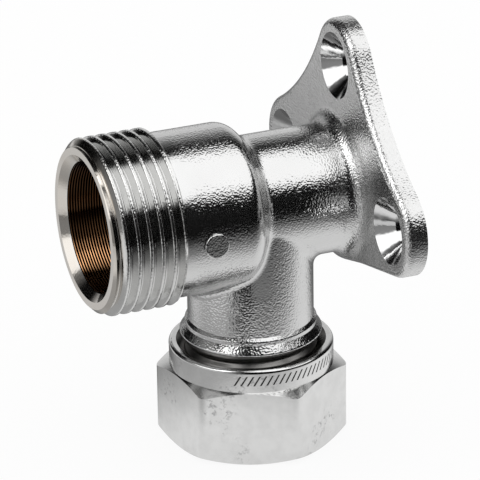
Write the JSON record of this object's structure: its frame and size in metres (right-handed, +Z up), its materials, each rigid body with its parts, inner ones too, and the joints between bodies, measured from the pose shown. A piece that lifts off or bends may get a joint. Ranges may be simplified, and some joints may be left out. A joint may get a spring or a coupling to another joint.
{
  "type": "wall plate elbow",
  "caption": "Chrome-plated brass pipe elbow with a lobed screw plate, a threaded outlet to the front and a compression nut on the branch below.",
  "frame": {"origin": "centre of the plate's back face, on the outlet's axis", "axes": "+Y into the wall, outlet to -Y; +Z up, branch to -Z"},
  "size_m": [0.052, 0.043, 0.0633],
  "materials": {
    "stamped_chrome": "satin",
    "nut_chrome": "polished",
    "olive_brass": "satin"
  },
  "bodies": {
    "elbow": {"elbow_body": "stamped_chrome"},
    "olive": {"olive": "olive_brass"},
    "nut": {"compression_nut": "nut_chrome"}
  },
  "joints": [
    {"name": "nut_travel", "type": "slide", "parent": "elbow", "child": "olive", "axis": [0, 0, -1], "range_m": [0, 0.0056]},
    {"name": "nut_turn", "type": "hinge", "parent": "olive", "child": "nut", "pos_m": [0, -0.017, -0.03], "axis": [0, 0, -1], "range_deg": [0, 1111]}
  ],
  "couplings": [
    {"joint": "nut_travel", "follows": "nut_turn", "m_per_rad": 0.00028871}
  ]
}
